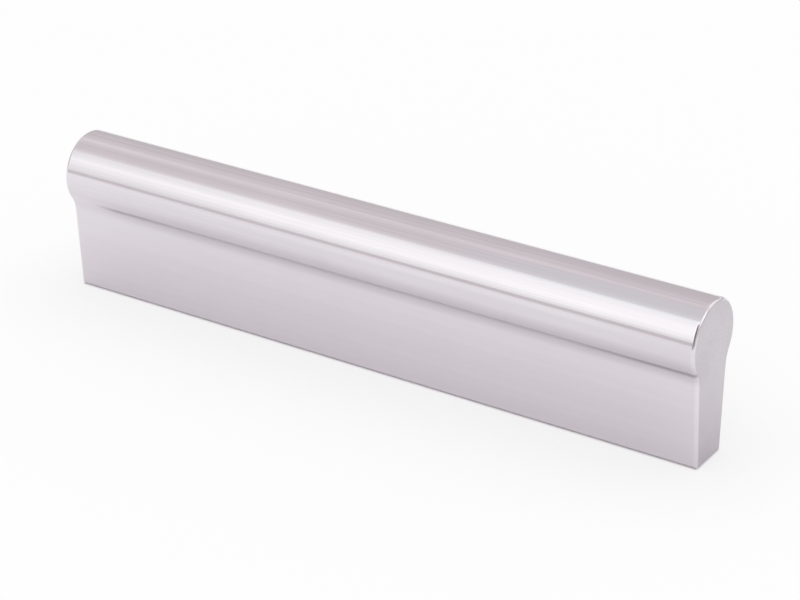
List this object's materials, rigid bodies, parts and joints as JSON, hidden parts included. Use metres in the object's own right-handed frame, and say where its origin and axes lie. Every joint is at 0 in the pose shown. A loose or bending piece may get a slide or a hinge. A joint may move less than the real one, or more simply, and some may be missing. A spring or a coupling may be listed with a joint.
{
  "type": "furniture pull handle",
  "caption": "Straight solid aluminium pull handle for a drawer or cabinet door: round grip over a tapering web, with tapped holes in its flat mounting face.",
  "frame": {"origin": "centre of the flat mounting face", "axes": "+X along the handle, +Y across its thickness, +Z out from the mounting face towards the round grip"},
  "size_m": [0.136, 0.015, 0.031],
  "materials": {
    "satin_aluminium": "bright satin with a fine grain along the handle"
  },
  "bodies": {
    "root": {"pull_handle": "satin_aluminium"}
  },
  "joints": []
}
